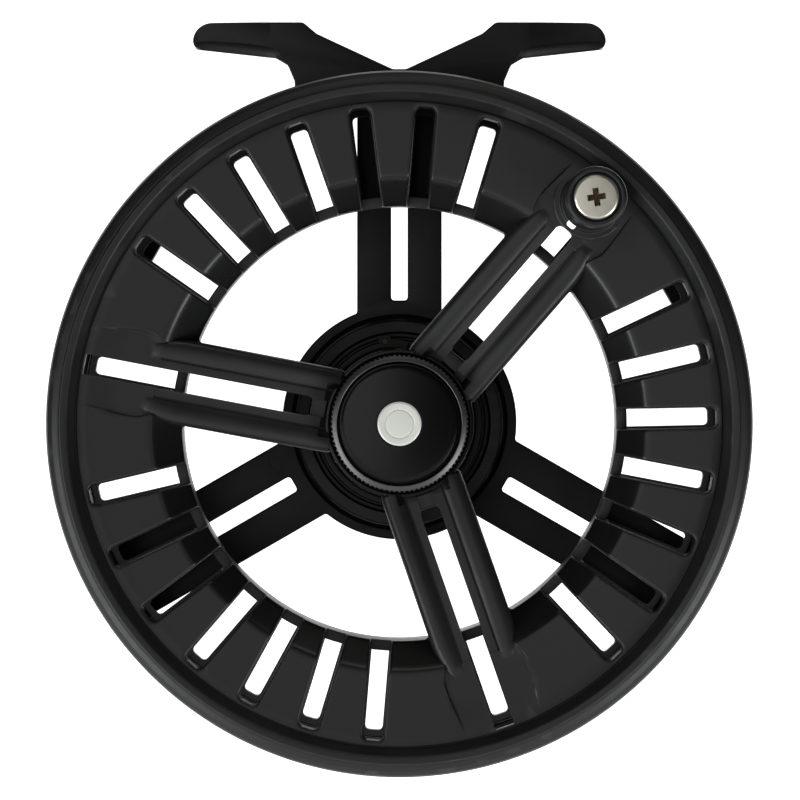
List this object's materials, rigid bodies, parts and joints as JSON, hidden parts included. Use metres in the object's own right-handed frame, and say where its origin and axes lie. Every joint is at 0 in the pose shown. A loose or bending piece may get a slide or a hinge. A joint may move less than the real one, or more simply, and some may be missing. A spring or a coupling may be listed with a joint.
{
  "type": "fly reel",
  "caption": "Large-arbor fly reel: slotted spool with palming rim and double spokes on a three-spoke frame, crank handle, rear drag knob and rod foot.",
  "frame": {"origin": "middle of the foot's seat plane, where the rod's reel seat presses", "axes": "+Z out of the foot towards the rod, -Y towards the handle side along the spool's axis, +X to the right seen from the handle side"},
  "size_m": [0.104, 0.0597, 0.112],
  "materials": {
    "frame_black": "fine satin moulded black",
    "spool_black": "fine satin moulded black",
    "gloss_black": "gloss black",
    "knob_black": "satin black",
    "badge_grey": "pale grey satin",
    "nickel": "warm nickel plate",
    "steel": "turned stainless steel",
    "black_steel": "blackened steel",
    "brass": "turned brass",
    "aluminium": "turned aluminium",
    "friction": "filled PTFE friction material",
    "rubber": "nitrile rubber"
  },
  "bodies": {
    "frame": {"frame_back": "frame_black", "frame_front_ring": "frame_black", "pillar_upper_right": "black_steel", "pillar_upper_left": "black_steel", "pillar_lower_left": "black_steel", "pillar_lower_right": "black_steel", "pillar_screw_upper_right": "steel", "pillar_screw_upper_left": "steel", "pillar_screw_lower_left": "steel", "pillar_screw_lower_right": "steel", "foot_bridge": "frame_black", "bridge_screw_left": "steel", "bridge_screw_right": "steel", "reel_foot": "frame_black", "foot_screw_left": "steel", "foot_screw_right": "steel", "spindle": "steel", "spindle_clip": "black_steel", "friction_washer": "friction", "drag_cover": "frame_black", "cover_seal": "rubber", "pawl_pin": "steel", "drag_spring": "steel", "knob_screw": "steel"},
    "pawl": {"click_pawl": "brass"},
    "rotor": {"drag_rotor": "steel", "clutch_bearing": "steel"},
    "drive": {"drive_hub": "steel", "bearing_rear": "steel", "bearing_spacer": "aluminium", "bearing_front": "steel", "thrust_washer": "brass"},
    "spool": {"spool_front": "spool_black", "spool_rear": "spool_black", "drive_bush": "brass", "click_gear": "steel", "cap_disc": "gloss_black", "cap_badge": "badge_grey", "latch_spring": "steel", "handle_washer": "steel", "handle_sleeve": "brass", "handle_insert": "brass", "handle_screw": "nickel"},
    "release": {"release_ring": "knob_black"},
    "latch": {"latch_plate": "steel"},
    "handle": {"handle_knob": "knob_black"},
    "drag_knob": {"drag_knob": "knob_black", "knob_cap": "gloss_black", "detent_ball": "steel", "detent_spring": "steel"},
    "nut": {"drag_nut": "brass"}
  },
  "joints": [
    {"name": "spool_spin", "type": "hinge", "parent": "frame", "child": "drive", "pos_m": [0, 0, -0.06], "axis": [0, -1, 0], "continuous": true},
    {"name": "spool_pull", "type": "slide", "parent": "drive", "child": "spool", "axis": [0, -1, 0], "range_m": [0, 0.034]},
    {"name": "handle_spin", "type": "hinge", "parent": "spool", "child": "handle", "pos_m": [0.02816, 0, -0.02737], "axis": [0, -1, 0], "continuous": true},
    {"name": "release_turn", "type": "hinge", "parent": "spool", "child": "release", "pos_m": [0, 0, -0.06], "axis": [0, -1, 0], "range_deg": [0, 40]},
    {"name": "latch_slide", "type": "slide", "parent": "spool", "child": "latch", "axis": [1, 0, 0], "range_m": [0, 0.0012], "stiffness_N_per_m": 200},
    {"name": "drag_turn", "type": "hinge", "parent": "frame", "child": "drag_knob", "pos_m": [0, 0, -0.06], "axis": [0, -1, 0], "range_deg": [0, 300]},
    {"name": "nut_travel", "type": "slide", "parent": "drag_knob", "child": "nut", "axis": [0, -1, 0], "range_m": [0, 0.00067]},
    {"name": "rotor_spin", "type": "hinge", "parent": "frame", "child": "rotor", "pos_m": [0, 0, -0.06], "axis": [0, -1, 0], "continuous": true},
    {"name": "pawl_lift", "type": "hinge", "parent": "frame", "child": "pawl", "pos_m": [-0.00217, 0, -0.04769], "axis": [0, -1, 0], "range_deg": [0, 10], "stiffness_Nm_per_rad": 0.002}
  ],
  "couplings": [
    {"joint": "release_turn", "follows": "latch_slide", "rad_per_m": 581.78},
    {"joint": "nut_travel", "follows": "drag_turn", "m_per_rad": 0.00012732}
  ]
}
